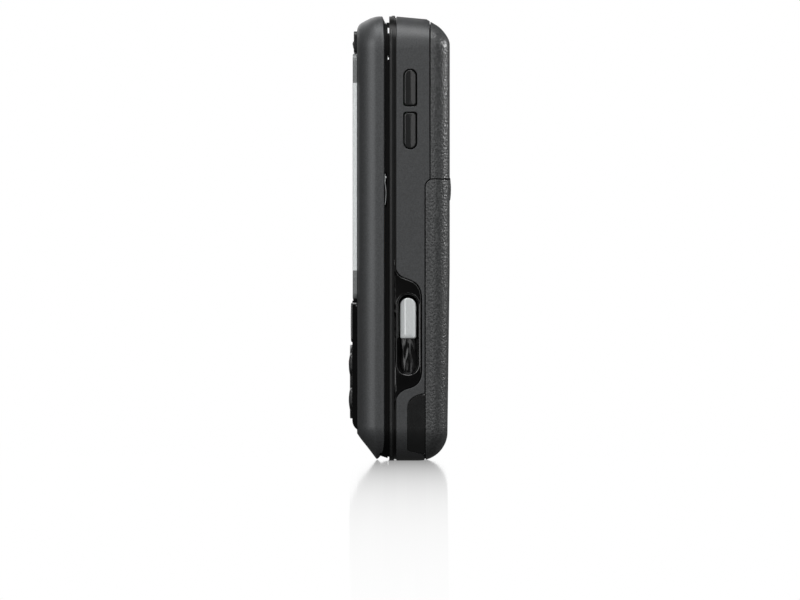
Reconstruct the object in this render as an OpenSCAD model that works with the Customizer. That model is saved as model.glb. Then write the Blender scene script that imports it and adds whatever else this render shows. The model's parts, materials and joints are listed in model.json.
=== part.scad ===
// Pocket organiser with a touch screen and a slide-out keyboard.
// The screen unit slides sideways on the lower casing and uncovers four rows of keys.
// Millimetres. +X is the right-hand side, -Y the screen side, +Z the top end.
// The organiser stands on its bottom end.

/* [Casing] */
// Width across both units
body_w = 58; // [57:0.5:60]
// Height of the lower casing
body_h = 107.6; // [107.6:0.2:109]
// Corner radius seen from the front
corner_r = 8; // [6:0.5:9]
// Wall of the painted band
band_wall = 1.3; // [1.1:0.1:1.4]
// Wall of the rear cover and the battery door
cover_wall = 1.1; // [0.9:0.1:1.2]
// Wall of the screen bezel
bezel_wall = 1.2; // [1:0.1:1.3]

/* [Slider] */
// How far the screen unit slides sideways
slide_travel = 26; // [20:0.5:26]
// Length of the two guide shoes
shoe_len = 25; // [20:1:25]
// Height of the upper guide shoe above the bottom end
shoe_top_z = 100.7; // [100:0.1:101]
// Height of the lower guide shoe
shoe_bottom_z = 8; // [7.8:0.1:8.5]

/* [Keys] */
// Key rows of the hidden keyboard
row_count = 4; // [3:1:4]
// Keys in a row
keys_per_row = 10; // [9:1:10]
// Travel of a key of the keyboard
row_travel = 0.25; // [0.15:0.05:0.3]
// Gap around each key that moves
key_gap = 0.15; // [0.12:0.01:0.18]

/* [Stylus] */
// Radius of the stylus barrel
stylus_r = 1.9; // [1.7:0.1:1.9]
// Length of the stylus
stylus_len = 93; // [80:1:94]

/* [Sockets] */
// Radius of the headset socket's bore
jack_r = 1.3; // [1.28:0.01:1.35]
// Depth of the headset socket's bore
jack_depth = 9.6; // [8:0.1:9.8]

/* [Hidden] */
$fn = 48;

// Depth planes, from the front to the back.
key_tip_y = -12.42;
soft_tip_y = -12.06;
panel_y = -11.55;
window_y = -11.45;
bezel_y = -10.4;
screen_rear_y = -3.75;
back_plate_y = -3;
deck_y = -2.62;
groove_y = -1.45;
band_y = -0.87;
door_y = 6.09;
cover_y = 7.3;
back_y = 12.05;
latch_tip_y = 12.42;

// Heights above the bottom end.
screen_low_z = 0.4;
chamfer_z = 6.6;
panel_z = [7, 38.8];
window_z = [38.95, 98.55];
door_top_z = 68.1;
seam = 0.1;

half_w = body_w / 2;
side_r = 5;
// The screen unit's upper front edge in the side view: [Y, Z]
screen_top_line = [[-10.4, 103.5], [-10.3, 104.95], [-9.85, 105.6], [-9.2, 106.1], [-8.06, 106.7],
    [-6.5, 107.35], [-4.9, 107.7]];
// Steps back from the screen unit's rear plane, down its curved rear bottom edge: [depth, height]
rear_low_edge = [[0, 6.5], [0.4, 4], [1.1, 2], [1.6, 0.4]];
rear_top_r = 7;
rear_top_z = 99.6;
rear_low_r = 6.9;
rear_low_y = 4.6;
// Top line of the lower casing, from the arc of its upper back to the front: [Y, Z]
rear_top_line = [[7.3, 106.4], [6.6, 106.9]];
rear_side_r = 4.9;
arc_steps = 8;

// Points along an arc about c, from angle a0 to angle a1.
function arc(c, r, a0, a1) =
    [for (i = [0:arc_steps]) let (a = a0 + (a1 - a0) * i / arc_steps)
        [c[0] + r * cos(a), c[1] + r * sin(a)]];

// Extrusions along each axis. The outline of along_x is (Y, Z), of along_y (X, Z) and of along_z (X, Y).
module along_x(x0, x1) translate([x0, 0, 0]) rotate([90, 0, 90]) linear_extrude(x1 - x0) children();
module along_y(y0, y1) translate([0, y1, 0]) rotate([90, 0, 0]) linear_extrude(y1 - y0) children();
module along_z(z0, z1) translate([0, 0, z0]) linear_extrude(z1 - z0) children();

// A box from its lowest to its highest corner.
module block(low, high) translate(low) cube(high - low);

// A rounded rectangle from its lowest to its highest corner.
module rounded(low, high, r) {
    polygon(concat(
        arc([high[0] - r, high[1] - r], r, 0, 90),
        arc([low[0] + r, high[1] - r], r, 90, 180),
        arc([low[0] + r, low[1] + r], r, 180, 270),
        arc([high[0] - r, low[1] + r], r, 270, 360)));
}

// The casing's outline seen from the front.
module outline(inset = 0)
    rounded([inset - half_w, inset], [half_w - inset, body_h - inset], corner_r - inset);

// ---- Screen unit ----

// Side view of the screen unit: round at the top front edge, cut back at the bottom.
module screen_profile(inset = 0, rear = screen_rear_y) {
    polygon(concat(
        [for (p = screen_top_line) [max(p[0] + 0.3 * inset, bezel_y + inset), p[1] - inset]],
        [[-4.3, 107.7 - inset], [screen_rear_y, 106.4 - inset]],
        rear > screen_rear_y ? [[rear, 106.4 - inset]] : [],
        [for (p = rear_low_edge) [rear - p[0], p[1] + 1.2 * inset]],
        [[-5.75 + 0.3 * inset, screen_low_z + 1.2 * inset], [bezel_y + inset, chamfer_z + 0.4 * inset]]));
}

module screen_solid(inset = 0, rear = screen_rear_y) {
    intersection() {
        along_x(inset - half_w, half_w - inset) screen_profile(inset, rear);
        along_y(bezel_y - 1, 0) outline(inset);
        along_z(-1, body_h + 1) polygon(concat(
            [[half_w - inset, 0]],
            arc([half_w - side_r, bezel_y + side_r], side_r - inset, 0, -90),
            arc([side_r - half_w, bezel_y + side_r], side_r - inset, -90, -180),
            [[inset - half_w, 0]]));
    }
}

shoe_y = -2.93;
leaf_x = [27.6, 28.5];
leaf_y = -3.3;
leaf_z = [61.9, 69.4];
leaf_r = 14.2;
lip_z = [[1.8, 5.1], [11, 97], [104.7, 106]];
skirt_z = [[1, 97], [98, 103.4], [104.7, 106]];
screen_screw_spots = [for (x = [-26, 26], z = [22, 88]) [x, z]];
key_size = [11.2, 5.6];
key_spots = [[17.8, 23.2], [17.8, 14.8]];
nav_spot = [0, 19];
nav_r = 9;
select_r = 3.3;
softkey_x = [1.2, 23.6];
softkey_z = [28.7, 38.3];
top_key_x = [7.2, 21.8];
top_key_z = [99, 104];
top_key_y = -11.2;

// Outline of a rounded key, and of its opening when grown by the key gap.
module key_outline(spot, grow = 0) {
    rounded([spot[0] - key_size[0] / 2 - grow, spot[1] - key_size[1] / 2 - grow],
            [spot[0] + key_size[0] / 2 + grow, spot[1] + key_size[1] / 2 + grow], 2 + grow);
}

module top_key_outline(side, grow = 0) {
    translate([side * (top_key_x[0] + top_key_x[1]) / 2, 0])
        rounded([-7.3 - grow, top_key_z[0] - grow], [7.3 + grow, top_key_z[1] + grow], 1.2);
}

module softkey_outline(side, grow = 0) {
    translate([side * (softkey_x[0] + softkey_x[1]) / 2, 0])
        rounded([-11.2 - grow, softkey_z[0] - grow], [11.2 + grow, softkey_z[1] + grow], 0.8);
}

module screen_bezel() color([0.18, 0.18, 0.19]) difference() {
    union() {
        difference() {
            screen_solid();
            screen_solid(bezel_wall, 0);
        }
        for (p = screen_screw_spots) intersection() {
            translate([p[0], -4.55, p[1]]) rotate([90, 0, 0]) cylinder(r = 1.6, h = 5.05);
            screen_solid(0.3);
        }
    }
    along_y(bezel_y - 1, -9) rounded([-23.4, 39.8], [23.4, 97.7], 1);
    along_y(bezel_y - 1, -9) rounded([-23.8, 9.4], [23.8, 38.45], 1);
    along_y(bezel_y - 1, -9) rounded([-5.6, 99.9], [5.6, 103.1], 1);
    for (side = [-1, 1]) along_y(bezel_y - 1, -8) top_key_outline(side, key_gap);
    for (p = screen_screw_spots) translate([p[0], -4, p[1]]) rotate([90, 0, 0]) cylinder(r = 0.65, h = 4.5);
}

module screen_window() color([0.75, 0.78, 0.78, 0.6])
    along_y(window_y, bezel_y) rounded([-24.6, window_z[0]], [24.6, window_z[1]], 1.6);

module lcd_module() color([0.05, 0.05, 0.06])
    along_y(-10.35, -7.6) rounded([-23.2, 40], [23.2, 97.5], 0.6);

module display_frame() color([0.7, 0.7, 0.72]) difference() {
    along_y(-7.5, -7.1) rounded([-24.2, 39.4], [24.2, 98.2], 1);
    for (z = [52, 72]) along_y(-8, -7) rounded([-18, z], [18, z + 13], 2);
}

module control_panel() color([0.07, 0.07, 0.08]) difference() {
    intersection() {
        along_y(panel_y, bezel_y) rounded([-24.6, panel_z[0]], [24.6, panel_z[1]], 1.6);
        along_x(-30, 30) polygon(concat(
            [[0, panel_z[0]], [0, panel_z[1]], [panel_y, panel_z[1]]],
            arc([panel_y + 2.8, panel_z[0] + 2.8], 2.8, 180, 234),
            [[bezel_y, panel_z[0]]]));
    }
    for (side = [-1, 1]) {
        along_y(panel_y - 1, 0) softkey_outline(side, key_gap);
        for (p = key_spots) along_y(panel_y - 1, 0) key_outline([side * p[0], p[1]], key_gap);
    }
    translate([nav_spot[0], 0, nav_spot[1]]) rotate([90, 0, 0]) cylinder(r = nav_r + 0.25, h = 20);
}

// A rocker-topped key: flat-sided body with a crowned face.
module face_key(spot) intersection() {
    along_y(key_tip_y, -10.05) key_outline(spot);
    translate([spot[0] - 10, key_tip_y + 9, spot[1]]) rotate([0, 90, 0]) cylinder(r = 9, h = 20, $fn = 96);
}

module call_key() color([0.09, 0.09, 0.1]) face_key([-key_spots[0][0], key_spots[0][1]]);
module end_key() color([0.09, 0.09, 0.1]) face_key(key_spots[0]);
module home_key() color([0.09, 0.09, 0.1]) face_key([-key_spots[1][0], key_spots[1][1]]);
module ok_key() color([0.09, 0.09, 0.1]) face_key(key_spots[1]);

module softkey(side) intersection() {
    along_y(soft_tip_y, -10.05) softkey_outline(side);
    along_x(-30, 30) polygon([
        [-10.05, softkey_z[0]], [-11.7, softkey_z[0]], [-12, softkey_z[0] + 1],
        [soft_tip_y, softkey_z[0] + 2.5], [soft_tip_y, softkey_z[1] - 1.4],
        [-11.7, softkey_z[1]], [-10.05, softkey_z[1]]]);
}

module softkey_left() color([0.08, 0.08, 0.09]) softkey(-1);
module softkey_right() color([0.08, 0.08, 0.09]) softkey(1);

module top_key(side) union() {
    along_y(top_key_y, -9.4) top_key_outline(side);
    translate([side * 14.5 - 5, top_key_y + 0.5, 101]) rotate([0, 90, 0]) cylinder(r = 0.8, h = 10);
}

module top_key_left() color([0.12, 0.12, 0.13]) top_key(-1);
module top_key_right() color([0.12, 0.12, 0.13]) top_key(1);

// Stands a module that was drawn along +Z at the centre of the navigation pad, facing the front.
module at_nav(y) translate([nav_spot[0], y, nav_spot[1]]) rotate([90, 0, 0]) children();

module nav_carrier() color([0.25, 0.25, 0.26]) at_nav(-10.1) difference() {
    cylinder(r = 5, h = 0.3);
    translate([0, 0, -1]) cylinder(r = select_r + 0.4, h = 3);
}

module nav_ring() color([0.1, 0.1, 0.11]) at_nav(-10.7) difference() {
    cylinder(r = nav_r, h = 1.5);
    translate([0, 0, -1]) cylinder(r = select_r + 0.25, h = 4);
    translate([0, 0, 10.1]) sphere(r = 9, $fn = 96);
}

module nav_select() color([0.16, 0.16, 0.17]) at_nav(-10) intersection() {
    cylinder(r = select_r, h = 2.1);
    translate([0, 0, -12.9]) sphere(r = 15, $fn = 96);
}

module key_circuit() color([0.1, 0.3, 0.2]) {
    along_y(-9.3, -8.6) rounded([-22.5, 9.8], [22.5, 37.6], 1);
    for (side = [-1, 1]) {
        for (p = key_spots) translate([side * p[0], -9.3, p[1]]) rotate([90, 0, 0]) cylinder(r = 2, h = 0.2);
        translate([side * 12.4, -9.3, 33.5]) rotate([90, 0, 0]) cylinder(r = 2, h = 0.2);
    }
}

module earpiece() color([0.3, 0.3, 0.32]) along_y(-8.9, -6.6) rounded([-5.5, 99.7], [5.5, 103.2], 1.4);

module earpiece_grille() color([0.05, 0.05, 0.05]) difference() {
    along_y(-10.55, -10) rounded([-5.5, 100], [5.5, 103], 0.9);
    for (i = [-3:3]) along_y(-11, -9) rounded([i * 1.4 - 0.35, 100.6], [i * 1.4 + 0.35, 102.4], 0.3);
}

// The long slots in which the guide shoes run, and the opening for the flexible circuit.
module slider_slots(y0, y1) {
    for (z = [shoe_top_z, shoe_bottom_z]) along_y(y0, y1) rounded([-24.8, z - 1], [27.4, z + 1], 0.9);
    along_y(y0, y1) rounded([0.2, 47.5], [2.6, 60.5], 0.8);
}

// A thin skirt round the right-hand side of the plate, outside the deck's lip, from one depth to another.
module skirt(y0, y1, inner) for (z = skirt_z) along_y(y0, y1) intersection() {
    difference() {
        outline(0.12);
        outline(inner);
    }
    translate([20, z[0]]) square([10, z[1] - z[0]]);
}

module screen_back() color([0.04, 0.04, 0.045]) difference() {
    union() {
        skirt(-3.3, back_plate_y + 0.05, 0.4);
        skirt(-3.3, -2.72, 0.32);
        back_plate();
    }
    slider_slots(-6, 0);
    for (p = screen_screw_spots) {
        translate([p[0], 0, p[1]]) rotate([90, 0, 0]) cylinder(r = 0.75, h = 6);
        translate([p[0], -2, p[1]]) rotate([90, 0, 0]) cylinder(r = 1.45, h = 1.55);
    }
    block([leaf_x[0] - 0.4, -4, leaf_z[0] - 0.4], [28.55, 0, leaf_z[1] + 0.4]);
    block([leaf_x[0] - 0.4, -4, leaf_z[0] - 0.4], [30, back_plate_y - 0.2, leaf_z[1] + 0.4]);
}

module back_plate() intersection() {
    along_x(0.3 - half_w, half_w - 0.3) polygon(concat(
        [[-5.03, 1.3], [back_plate_y, 0.6], [back_plate_y, 105], [screen_rear_y + seam / 2, 106.3]],
        [for (i = [0:2]) [screen_rear_y + seam / 2 - rear_low_edge[i][0], rear_low_edge[i][1]]]));
    along_y(-6, 0) outline(0.3);
}

// A bowed leaf with a riveted end, in a notch of the screen unit's back. It keeps the slider from rattling.
module bowed_leaf() {
    intersection() {
        translate([leaf_x[0], leaf_y - leaf_r, 64.6]) rotate([0, 90, 0]) difference() {
            cylinder(r = leaf_r, h = leaf_x[1] - leaf_x[0], $fn = 96);
            translate([0, 0, -1]) cylinder(r = leaf_r - 0.15, h = 5, $fn = 96);
        }
        block([leaf_x[0] - 1, -4, leaf_z[0]], [leaf_x[1] + 1, leaf_y + 1, 67.4]);
    }
    block([27.22, -4, 67.3], [27.4, -3.5, leaf_z[1]]);
    block([27.22, -3.7, 67.3], [leaf_x[1], -3.5, leaf_z[1]]);
    translate([leaf_x[1] - 0.4, -3.5, 68.5]) rotate([-90, 0, 0]) cylinder(r = 0.4, h = 0.25);
}

module slide_plate() color([0.72, 0.72, 0.74]) union() {
    difference() {
        along_y(-4.45, screen_rear_y - 0.05) rounded([-27.4, 6], [27.4, 104], 4);
        slider_slots(-6, 0);
        for (p = screen_screw_spots) translate([p[0], 0, p[1]]) rotate([90, 0, 0]) cylinder(r = 0.75, h = 6);
        for (x = [-20, 12], z = [22, 66]) along_y(-6, 0) rounded([x, z], [x + 9, z + 20], 2);
    }
    bowed_leaf();
}

// A pan-head screw along +Y's negative, head at the origin.
module screw(head_r, head_h, shank_r, shank_len) rotate([90, 0, 0]) {
    difference() {
        cylinder(r = head_r, h = head_h);
        for (a = [0, 90]) rotate([0, 0, a]) translate([-head_r * 0.6, -0.15, -1])
            cube([head_r * 1.2, 0.3, 1.25]);
    }
    translate([0, 0, head_h]) cylinder(r = shank_r, h = shank_len);
}

module screen_screws() color([0.15, 0.15, 0.16])
    for (p = screen_screw_spots) translate([p[0], -3.05, p[1]]) screw(1.3, 0.5, 0.6, 3.8);

// ---- Slider between the units ----

module slide_shoes() color([0.1, 0.1, 0.1]) for (z = [shoe_top_z, shoe_bottom_z]) {
    block([2, shoe_y, z - 2.7], [2 + shoe_len, deck_y, z + 2.7]);
    block([2, -4.6, z - 0.8], [2 + shoe_len, shoe_y, z + 0.8]);
    block([2, -5.1, z - 1.7], [2 + shoe_len, -4.55, z + 1.7]);
    for (i = [1:3]) translate([2 + shoe_len * i / 4, -1.2, z]) rotate([90, 0, 0]) cylinder(r = 0.7, h = 1.3);
}

// A torsion spring that lies flat in the screen unit: one coil and two legs.
module torsion_spring(z, up) translate([8, -5.6, z]) {
    rotate([90, 0, 0]) difference() {
        cylinder(r = 2.5, h = 0.6);
        translate([0, 0, -1]) cylinder(r = 1.9, h = 3);
    }
    rotate([0, up * 12, 0]) translate([-2.45, -0.55, up < 0 ? -11 : 0]) cube([0.5, 0.5, 11]);
    translate([-20, -0.55, -up * 2.2 - 0.25]) cube([20, 0.5, 0.5]);
}

module slide_springs() color([0.75, 0.75, 0.78]) {
    torsion_spring(86, 1);
    torsion_spring(22, -1);
}

module display_flex() color([0.75, 0.45, 0.15]) {
    block([1, -2.91, 48], [14.2, -2.75, 60]);
    block([1, -6, 48], [1.16, -2.91, 60]);
    block([14.04, -2.75, 48], [14.2, 0.2, 60]);
}

// ---- Lower casing ----

// Side view of the lower casing, grown inwards by inset.
module rear_profile(inset = 0) {
    polygon(concat(
        [[-3, inset]],
        arc([rear_low_y, rear_low_r], rear_low_r - inset, -90, 0),
        [[back_y - inset, 47]],
        arc([back_y - rear_top_r, rear_top_z], rear_top_r - inset, 0, 66),
        [for (p = rear_top_line) [p[0] - 0.3 * inset, p[1] - inset]],
        [[band_y, body_h - inset], [-3, body_h - inset]]));
}

module rear_solid(inset = 0) intersection() {
    along_x(inset - half_w, half_w - inset) rear_profile(inset);
    along_y(-4, 14) outline(inset);
    along_z(-1, body_h + 1) polygon(concat(
        [[half_w - inset, -4]],
        arc([half_w - rear_side_r, back_y - rear_side_r], rear_side_r - inset, 0, 90),
        arc([rear_side_r - half_w, back_y - rear_side_r], rear_side_r - inset, 90, 180),
        [[inset - half_w, -4]]));
}

keyboard_x = [-27.2, -3.8];
keyboard_z = [6.3, 101.5];
row_pitch = 5.6;
key_pitch = 9.35;
row_key = [4.9, 8.5];
switch_y = 1.95;
switch_recess_z = [20, 41.1];
switch_track_z = [21.3, 39.8];
knob_z = [29.6, 39.4];
power_x = [6.2, 15.8];
volume_y = 2.5;
volume_z = [79.8, 90.2];
volume_size = [2.95, 8.7];
stylus_spot = [-20.3, 3.6];
jack_spot = [-13, 3.6];
camera_spot = [12, 91];
speaker_spot = [-9, 91];
base_screw_spots = [[24.9, 54], [24.9, 98], [-22.5, 4.6], [-14, 103.4]];

// Side view of the lug that holds the hold switch, with room for a gap g around it.
function lug(g) = [
    [-2, 47.5 + g], [-0.8, 45.9 + g], [0.2, 44.6 + g], [2.6, 43.6 + g], [4.2 + g / 2, 42.6 + g],
    [5 + g, 41 + g], [5.25 + g, 39], [5.25 + g, 22], [5 + g, 20.4 - g], [4.2 + g / 2, 18.9 - g],
    [2.6, 17.8 - g], [0.2, 16.8 - g], [-0.8, 15 - g], [-2, 13.5 - g]];

// A slot with round ends, standing up, centred on y.
module slot_outline(y, z0, z1, w) rounded([y - w / 2, z0], [y + w / 2, z1], w / 2 - 0.01);

module mid_frame() color([0.04, 0.04, 0.045]) difference() {
    union() {
        along_y(deck_y, groove_y) outline();
        along_y(groove_y, band_y) outline(0.3);
        // the lip that keeps dust out of the gap at the right-hand side
        for (z = lip_z) along_y(back_plate_y + 0.1, deck_y) intersection() {
            difference() {
                outline(0.4);
                outline(1.6);
            }
            translate([20, z[0]]) square([10, z[1] - z[0]]);
        }
        along_x(25.4, half_w) intersection() {
            polygon(lug(0));
            translate([band_y - 0.5, 0]) square([10, 60]);
        }
    }
    along_y(-4, 0) rounded([keyboard_x[0], keyboard_z[0]], [keyboard_x[1], keyboard_z[1]], 2);
    along_y(-4, 0) rounded([13.5, 47.6], [14.8, 60.4], 0.6);
    for (z = [shoe_top_z, shoe_bottom_z], i = [1:3])
        translate([2 + shoe_len * i / 4, 0, z]) rotate([90, 0, 0]) cylinder(r = 0.75, h = 4);
    block([power_x[0] - 0.2, -2.2, 104.6], [power_x[1] + 0.2, -1, 109]);
    along_x(27.6, 30) slot_outline(switch_y, switch_recess_z[0], switch_recess_z[1], 5.2);
    along_x(26.2, 30) slot_outline(switch_y, switch_track_z[0], switch_track_z[1], 4.3);
    along_x(25, 30) slot_outline(switch_y, 24.8, 37.2, 1.6);
    for (p = base_screw_spots) translate([p[0], 0, p[1]]) rotate([90, 0, 0]) cylinder(r = 0.8, h = 2);
}

function ir_points(g) = [
    [6.5, 16.3 + g], [5.4, 16.2 + g], [3.4 - g, 15.4 + g], [2.3 - g, 14.5 + g], [1.9 - g, 13.4], [1.9 - g, 3],
    [2.2 - g, 2.4 - g], [6.5, 1.7 - g]];

// Outline of one volume key: round at its outer end, nearly square at the other.
module volume_outline(i, grow = 0) {
    up = i == 1 ? 1 : -1;
    w = volume_size[0] / 2 + grow;
    h = volume_size[1] / 2 + grow;
    translate([volume_y, volume_z[i]]) scale([1, up]) polygon(concat(
        arc([0, h - w], w, 0, 180),
        arc([0.5 - w, 0.5 - h], 0.5, 180, 270),
        arc([w - 0.5, 0.5 - h], 0.5, 270, 360)));
}

module side_band() color([0.2, 0.2, 0.21]) difference() {
    intersection() {
        along_y(band_y + 0.05, cover_y) difference() {
            outline();
            outline(band_wall);
        }
        along_x(-half_w, half_w) rear_profile();
    }
    // the battery door's seam, with its rounded corner
    along_x(-30, 30) polygon(concat(
        [[9, -1], [door_y, -1]],
        arc([door_y + 1.8, door_top_z - 1.8], 1.8, 180, 90),
        [[9, door_top_z]]));
    along_x(20, 30) polygon(lug(0.06));
    along_x(20, 30) polygon(ir_points(0.06));
    for (i = [0, 1]) along_x(20, 30) volume_outline(i, key_gap);
    block([-3.95, 1.6, -1], [3.95, 5.6, 3]);
    translate([jack_spot[0], jack_spot[1], -1]) cylinder(r = 2.35, h = 4);
    translate([11, 2.2, -1]) cylinder(r = 0.5, h = 4);
    translate([stylus_spot[0], stylus_spot[1], 100]) cylinder(r = stylus_r + 0.15, h = 10);
}

module rear_cover() color([0.16, 0.16, 0.165]) difference() {
    intersection() {
        difference() {
            rear_solid();
            rear_solid(cover_wall);
        }
        block([-30, cover_y + 0.05, door_top_z + seam], [30, 14, 110]);
    }
    translate([camera_spot[0], 5, camera_spot[1]]) rotate([-90, 0, 0]) cylinder(r = 4.4, h = 10);
    for (i = [-3:3]) along_y(9, 13) translate(speaker_spot)
        rounded([i * 1.9 - 0.4, abs(i) - 4], [i * 1.9 + 0.4, 4 - abs(i)], 0.35);
    block([-4.2, 9, 60], [4.2, 14, 68.9]);
}

module battery_door() color([0.16, 0.16, 0.165]) difference() {
    intersection() {
        difference() {
            rear_solid();
            rear_solid(cover_wall);
        }
        along_x(-30, 30) polygon(concat(
            [[14, -1], [door_y + seam, -1]],
            arc([door_y + 1.8, door_top_z - 1.8], 1.8 - seam, 180, 90),
            [[14, door_top_z - seam]]));
    }
    block([-4.2, 9, 63], [4.2, 14, 70]);
}

module door_latch() color([0.1, 0.1, 0.11]) union() {
    intersection() {
        along_y(11.2, latch_tip_y) rounded([-4, 63.2], [4, 68.7], 1.6);
        translate([-10, -9.6, 65.95]) rotate([0, 90, 0]) cylinder(r = latch_tip_y + 9.6, h = 20, $fn = 96);
    }
    along_y(9.4, 11.2) rounded([-3.4, 63.8], [3.4, 68.1], 0.8);
}

module inner_chassis() color([0.12, 0.12, 0.13]) difference() {
    union() {
        along_y(4.6, 5.2) rounded([-27.2, 1.7], [27.2, 105.6], 6);
        for (x = [-16.8, 21.9]) block([x, 5.2, 12], [x + 0.8, 9.6, 62.4]);
        block([-16.8, 5.2, 62.4], [22.7, 8.6, 63.2]);
        for (p = base_screw_spots) translate([p[0], 4.6, p[1]]) rotate([90, 0, 0])
            cylinder(r = 2.1, h = 4.6 - band_y);
    }
    block([-22.6, 4, 13], [-18, 6, 110]);
    block([-4.2, 4, 0], [4.2, 6, 10.4]);
    block([-16, 4, 0], [-10, 6, 10.6]);
    block([25.2, 4, 13], [30, 6, 48]);
    for (p = base_screw_spots) translate([p[0], 6, p[1]]) rotate([90, 0, 0]) cylinder(r = 0.8, h = 10);
}

module main_board() color([0.1, 0.32, 0.2]) along_y(0.7, 1.6) union() {
    rounded([-17.6, 11], [21.8, 100.8], 1.5);
    translate([15, 60]) square([11.5, 35]);
}

module shield_cans() color([0.75, 0.75, 0.77]) {
    along_y(1.6, 3.3) rounded([-15, 70], [3, 96], 0.8);
    along_y(1.6, 3) rounded([5, 64], [20, 84], 0.8);
    along_y(1.6, 3.2) rounded([-15, 18], [12, 58], 0.8);
}

function row_x(i) = keyboard_x[1] - 0.5 - row_pitch * (i - 0.5);
function key_z(k) = (keyboard_z[0] + keyboard_z[1]) / 2 + key_pitch * ((keys_per_row - 1) / 2 - k);

module keyboard_board() color([0.1, 0.32, 0.2]) {
    along_y(-0.85, -0.35) difference() {
        rounded([-27.5, 6], [-3.5, 101.8], 2.2);
        for (p = base_screw_spots) translate(p) circle(r = 2.3);
    }
    for (i = [1:row_count], k = [0:keys_per_row - 1])
        translate([row_x(i), -0.85, key_z(k)]) rotate([90, 0, 0]) cylinder(r = 1.8, h = 0.2);
}

// One row of the keyboard: a group of separate key caps. The fourth row has a bar three keys long.
module key_row(i) {
    bar = i == row_count ? [4, 5, 6] : [];
    for (k = [0:keys_per_row - 1]) if (len(search(k, bar)) == 0 || k == 5) {
        half_z = (k == 5 && len(bar) > 0 ? row_key[1] + 2 * key_pitch : row_key[1]) / 2;
        along_y(-2.72, -1.4) rounded([row_x(i) - row_key[0] / 2, key_z(k) - half_z],
                                     [row_x(i) + row_key[0] / 2, key_z(k) + half_z], 1.1);
    }
}

module key_row_1() color([0.13, 0.13, 0.14]) key_row(1);
module key_row_2() color([0.13, 0.13, 0.14]) key_row(2);
module key_row_3() color([0.13, 0.13, 0.14]) key_row(3);
module key_row_4() color([0.13, 0.13, 0.14]) key_row(4);

module battery() color([0.2, 0.2, 0.22]) difference() {
    along_y(6.25, 10.1) rounded([-15.6, 10.8], [21.6, 60.6], 1.5);
    for (x = [0:3]) block([-1 + x * 3, 6, 60.1], [0.6 + x * 3, 8.2, 61]);
}

module battery_contacts() color([0.08, 0.08, 0.09]) {
    block([-2, 5.2, 60.75], [10, 8.6, 62.3]);
    for (x = [0:3]) block([-0.8 + x * 3, 6.6, 60.3], [0.4 + x * 3, 7.8, 60.75]);
}

module sim_holder() color([0.75, 0.75, 0.77]) difference() {
    along_y(5.2, 6.1) rounded([-10, 22], [15, 38], 1);
    along_y(5.5, 5.9) translate([-9.2, 20]) square([23.4, 17]);
}

module usb_port() color([0.7, 0.7, 0.72]) {
    difference() {
        along_z(0.1, 9.4) rounded([-3.85, 1.7], [3.85, 5.5], 0.7);
        along_z(0, 8.6) rounded([-3.45, 2.1], [3.45, 5.1], 0.5);
    }
    block([-2.6, 2.5, 1.2], [2.6, 3.3, 8.7]);
}

module headset_jack() color([0.06, 0.06, 0.06]) difference() {
    union() {
        translate([jack_spot[0], jack_spot[1], 0.1]) cylinder(r = 2.2, h = 2);
        block([jack_spot[0] - 2.6, jack_spot[1] - 2.3, 1.5], [jack_spot[0] + 2.6, jack_spot[1] + 2, 10.5]);
    }
    translate([jack_spot[0], jack_spot[1], 0]) cylinder(r = jack_r, h = 0.1 + jack_depth);
}

module camera_module() color([0.08, 0.08, 0.09]) difference() {
    union() {
        along_y(5.25, 9.4) rounded([7.6, 86.6], [16.4, 95.4], 0.6);
        translate([camera_spot[0], 9.4, camera_spot[1]]) rotate([-90, 0, 0]) cylinder(r = 3.3, h = 1.5);
    }
    translate([camera_spot[0], 10.2, camera_spot[1]]) rotate([-90, 0, 0]) cylinder(r = 1.6, h = 2);
}

module camera_window() color([0.1, 0.1, 0.12])
    translate([camera_spot[0], 11.1, camera_spot[1]]) rotate([-90, 0, 0]) cylinder(r = 4.3, h = 0.8);

module loudspeaker() color([0.2, 0.2, 0.21])
    translate([speaker_spot[0], 5.3, speaker_spot[1]]) rotate([-90, 0, 0]) cylinder(r = 6.4, h = 4.2);

motor_y = 7.9;
motor_z = 76;

module vibration_motor() color([0.75, 0.75, 0.77]) difference() {
    translate([-14, motor_y, motor_z]) rotate([0, 90, 0]) cylinder(r = 2.2, h = 9);
    translate([-6.5, motor_y, motor_z]) rotate([0, 90, 0]) cylinder(r = 0.45, h = 3);
}

module vibration_weight() color([0.6, 0.6, 0.62]) {
    translate([-6.2, motor_y, motor_z]) rotate([0, 90, 0]) cylinder(r = 0.4, h = 4.4);
    intersection() {
        translate([-4.4, motor_y, motor_z]) rotate([0, 90, 0]) cylinder(r = 2.3, h = 2.8);
        block([-5, motor_y - 3, motor_z - 3], [0, motor_y + 3, motor_z + 0.3]);
    }
}

module antenna() color([0.8, 0.5, 0.25]) {
    along_y(5.3, 7.2) rounded([-4, 98.6], [21.5, 104.4], 1);
    along_y(7.2, 7.4) rounded([-2, 99.4], [20, 101], 0.4);
    along_y(7.2, 7.4) rounded([-2, 102], [12, 103.6], 0.4);
}

module microphone() color([0.7, 0.7, 0.72]) translate([11, 2.2, 1.4]) cylinder(r = 1.3, h = 1.4);

module side_switches() color([0.7, 0.7, 0.72]) for (z = volume_z) {
    block([24.4, 1.6, z - 1.8], [26.5, 3.4, z + 1.8]);
    translate([26.5, volume_y, z]) rotate([0, 90, 0]) cylinder(r = 0.6, h = 0.1);
}

// One side key: its cap fills the opening in the band and a flange behind the wall keeps it in.
module volume_key(i) union() {
    along_x(27.4, half_w) volume_outline(i);
    along_x(27.05, 27.4) volume_outline(i, 0.5);
}

module volume_up_key() color([0.13, 0.13, 0.14]) volume_key(1);
module volume_down_key() color([0.13, 0.13, 0.14]) volume_key(0);

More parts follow.
